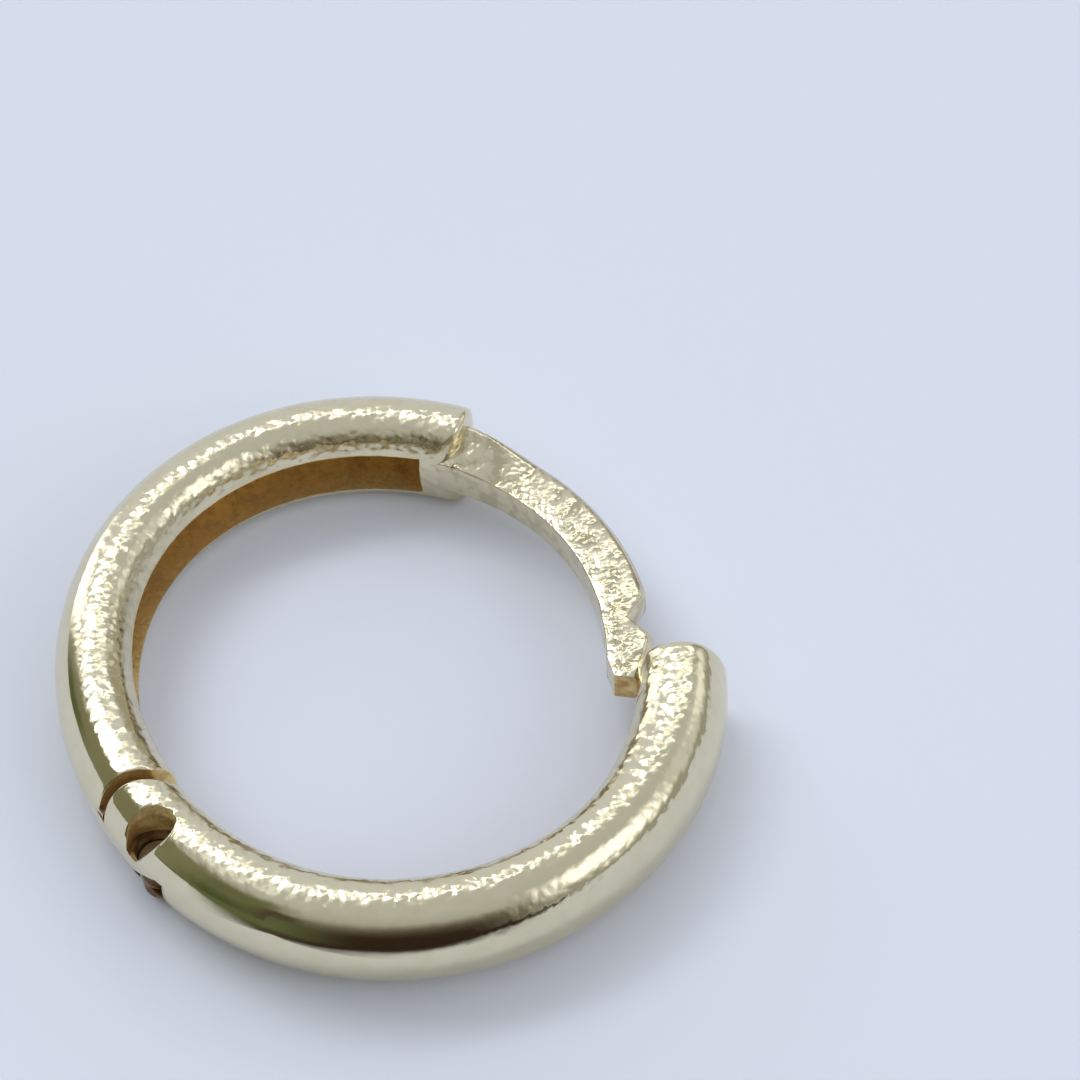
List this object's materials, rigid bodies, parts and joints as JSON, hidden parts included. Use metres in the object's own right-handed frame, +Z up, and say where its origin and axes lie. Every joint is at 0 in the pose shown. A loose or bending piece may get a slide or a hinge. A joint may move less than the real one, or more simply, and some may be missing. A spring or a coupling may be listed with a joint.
{
  "type": "hinged huggie hoop earring",
  "caption": "Small hinged hoop earring lying open on its side: rounded hollow-backed halves, a notched ear post on one and a mouth for it on the other, joined by a pinned hinge.",
  "frame": {"origin": "on the surface the earring lies on, under the middle of its bounding box", "axes": "+Z up along the hinge axis, +X to the picture's right, +Y away from the picture's camera"},
  "size_m": [0.0124, 0.0128, 0.0022],
  "materials": {
    "back_gold": "polished pale yellow gold, brown and unpolished inside the channel",
    "front_gold": "polished pale yellow gold with a fine grain",
    "pin_gold": "cut wire, dull ends"
  },
  "bodies": {
    "back": {"back_half": "back_gold", "hinge_pin": "pin_gold"},
    "front": {"front_half": "front_gold"}
  },
  "joints": [
    {"name": "hoop_hinge", "type": "hinge", "parent": "back", "child": "front", "pos_m": [-0.00458, -0.00324, 0.00063], "axis": [0, 0, -1], "range_deg": [-8, 60]}
  ]
}
